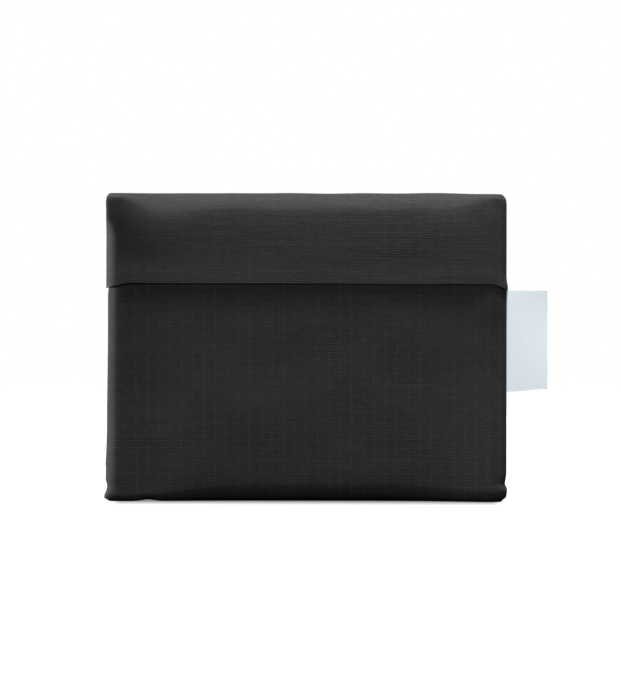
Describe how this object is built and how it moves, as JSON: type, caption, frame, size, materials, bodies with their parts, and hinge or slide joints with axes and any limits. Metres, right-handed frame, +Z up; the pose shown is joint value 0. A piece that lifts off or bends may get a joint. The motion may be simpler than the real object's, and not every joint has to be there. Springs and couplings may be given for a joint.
{
  "type": "packed foldaway bag",
  "caption": "Foldaway cloth bag folded flat in its own ripstop pocket, with a hooded flap over the mouth and a folded ribbon label in the side seam.",
  "frame": {"origin": "on the standing surface, under the middle of the pocket, on the bottom seam", "axes": "+Z up, the front with the flap faces -Y, the label stands out along +X"},
  "size_m": [0.1593, 0.02, 0.111],
  "materials": {
    "ripstop": "dull woven nylon with a ripstop grid",
    "lining": "dull woven nylon",
    "tape": "ribbed binding tape",
    "strap": "doubled ripstop strap",
    "ribbon": "woven satin ribbon"
  },
  "bodies": {
    "pocket": {"pocket_front": "ripstop", "pocket_back": "ripstop", "mouth_hem": "ripstop", "left_seam_tape": "tape", "right_seam_tape": "tape", "bottom_seam_tape": "tape", "flap_fold": "ripstop", "label_sewn_ends": "ribbon", "bag_front_panel": "ripstop", "bag_back_panel": "ripstop", "bag_mouth_binding": "tape", "left_strap": "strap", "right_strap": "strap", "joining_tape": "tape"},
    "flap": {"flap_outer": "ripstop", "flap_lining": "lining", "flap_hem": "ripstop"},
    "label": {"side_label": "ribbon"}
  },
  "joints": [
    {"name": "flap_turn", "type": "hinge", "parent": "pocket", "child": "flap", "pos_m": [0, 0.0084, 0.1104], "axis": [-1, 0, 0], "range_deg": [0, 175]},
    {"name": "label_bend", "type": "hinge", "parent": "pocket", "child": "label", "pos_m": [0.0729, 0, 0.0577], "axis": [0, 0, 1], "range_deg": [-85, 85], "stiffness_Nm_per_rad": 0.0002}
  ]
}
